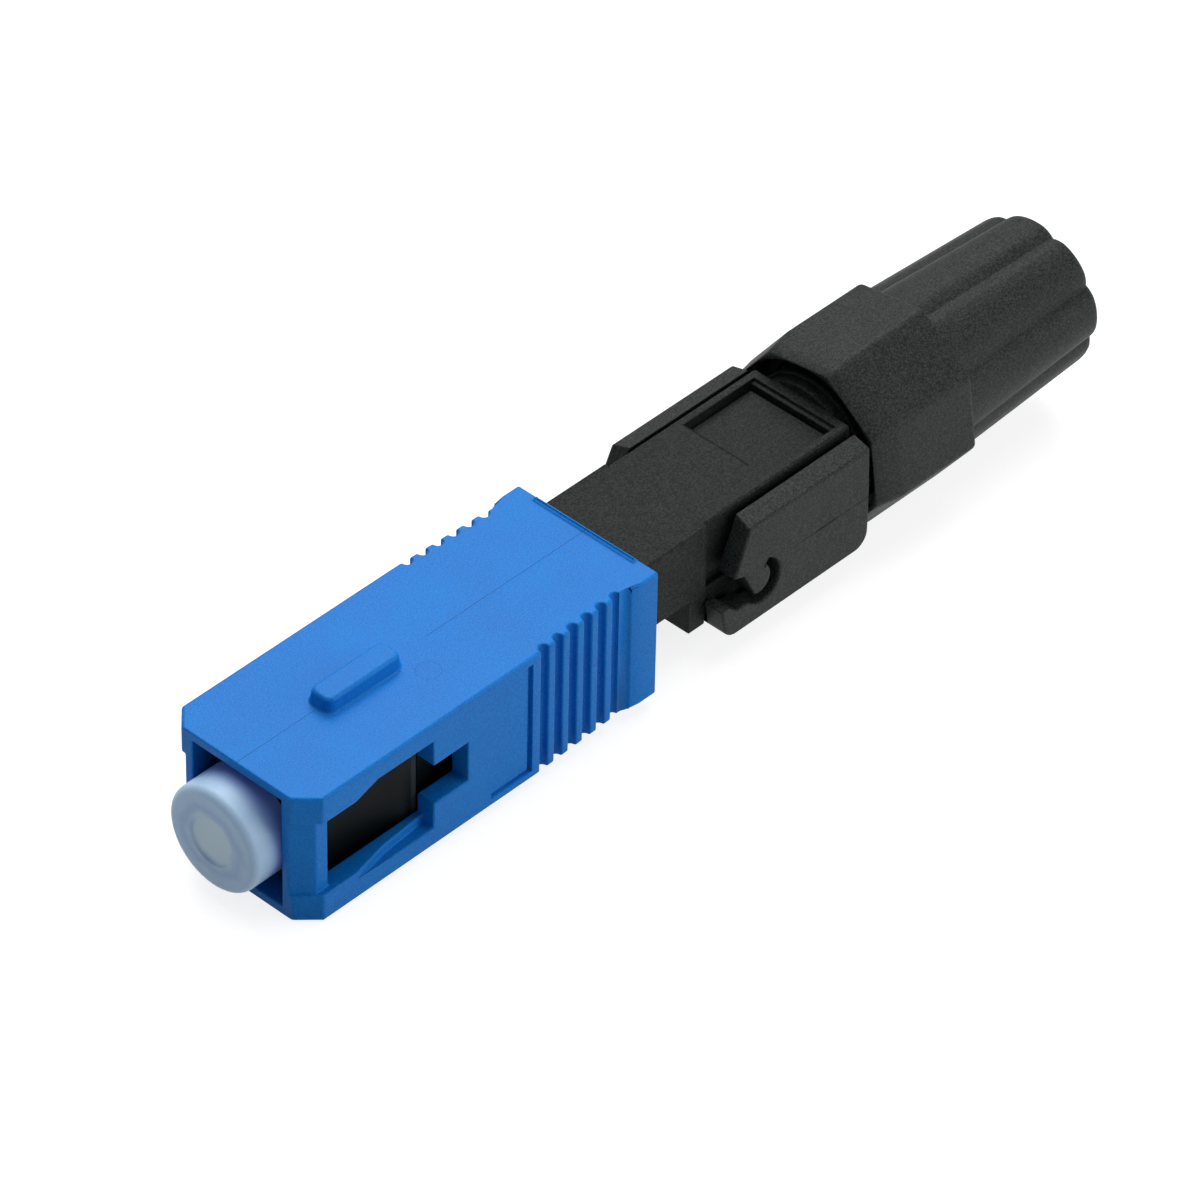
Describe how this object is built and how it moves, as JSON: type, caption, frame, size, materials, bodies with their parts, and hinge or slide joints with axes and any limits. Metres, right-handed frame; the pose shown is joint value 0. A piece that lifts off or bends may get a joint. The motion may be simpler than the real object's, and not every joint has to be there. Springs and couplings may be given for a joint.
{
  "type": "sc fibre connector",
  "caption": "Field-assembly push-pull SC fibre connector with dust cap, slide lock and screw tail for flat drop cable.",
  "frame": {"origin": "centre of the ferrule's polished tip", "axes": "+X along the fibre towards the cable end, +Z towards the key on top of the sleeve"},
  "size_m": [0.0563, 0.01, 0.01],
  "materials": {
    "cap_plastic": "translucent soft moulding",
    "sleeve_plastic": "semi-matt blue moulding",
    "black_plastic": "fine moulded grain",
    "zirconia": "ground and polished",
    "fibre_glass": "drawn glass",
    "holder_metal": "turned",
    "spring_steel": "drawn wire",
    "splice_plastic": "smooth natural moulding",
    "clip_steel": "rolled strip"
  },
  "bodies": {
    "splice_body": {"main_body": "black_plastic", "plug_frame": "black_plastic", "groove_base": "splice_plastic", "groove_lid": "splice_plastic", "splice_clip": "clip_steel", "press_cover": "black_plastic", "fibre_guide": "splice_plastic", "ferrule_spring": "spring_steel"},
    "cap": {"dust_cap": "cap_plastic"},
    "sleeve": {"outer_sleeve": "sleeve_plastic"},
    "ferrule_group": {"ferrule": "zirconia", "fibre_stub": "fibre_glass", "ferrule_holder": "holder_metal"},
    "lock": {"slide_lock": "black_plastic"},
    "jaws": {"clamp_jaw_upper": "black_plastic", "clamp_jaw_lower": "black_plastic"},
    "nut": {"tail_nut": "black_plastic"}
  },
  "joints": [
    {"name": "cap_pull", "type": "slide", "parent": "splice_body", "child": "cap", "axis": [-1, 0, 0], "range_m": [0, 0.009]},
    {"name": "sleeve_slide", "type": "slide", "parent": "splice_body", "child": "sleeve", "axis": [1, 0, 0], "range_m": [0, 0.0018]},
    {"name": "ferrule_float", "type": "slide", "parent": "splice_body", "child": "ferrule_group", "axis": [1, 0, 0], "range_m": [0, 0.0005], "stiffness_N_per_m": 1000, "deforming": ["ferrule_spring"]},
    {"name": "lock_slide", "type": "slide", "parent": "splice_body", "child": "lock", "axis": [-1, 0, 0], "range_m": [0, 0.0022]},
    {"name": "jaw_travel", "type": "slide", "parent": "splice_body", "child": "jaws", "axis": [1, 0, 0], "range_m": [0, 0.004]},
    {"name": "nut_turn", "type": "hinge", "parent": "jaws", "child": "nut", "pos_m": [0.045, 0, 0], "axis": [1, 0, 0], "range_deg": [0, 1440]}
  ],
  "couplings": [
    {"joint": "nut_turn", "follows": "jaw_travel", "rad_per_m": 6283}
  ]
}
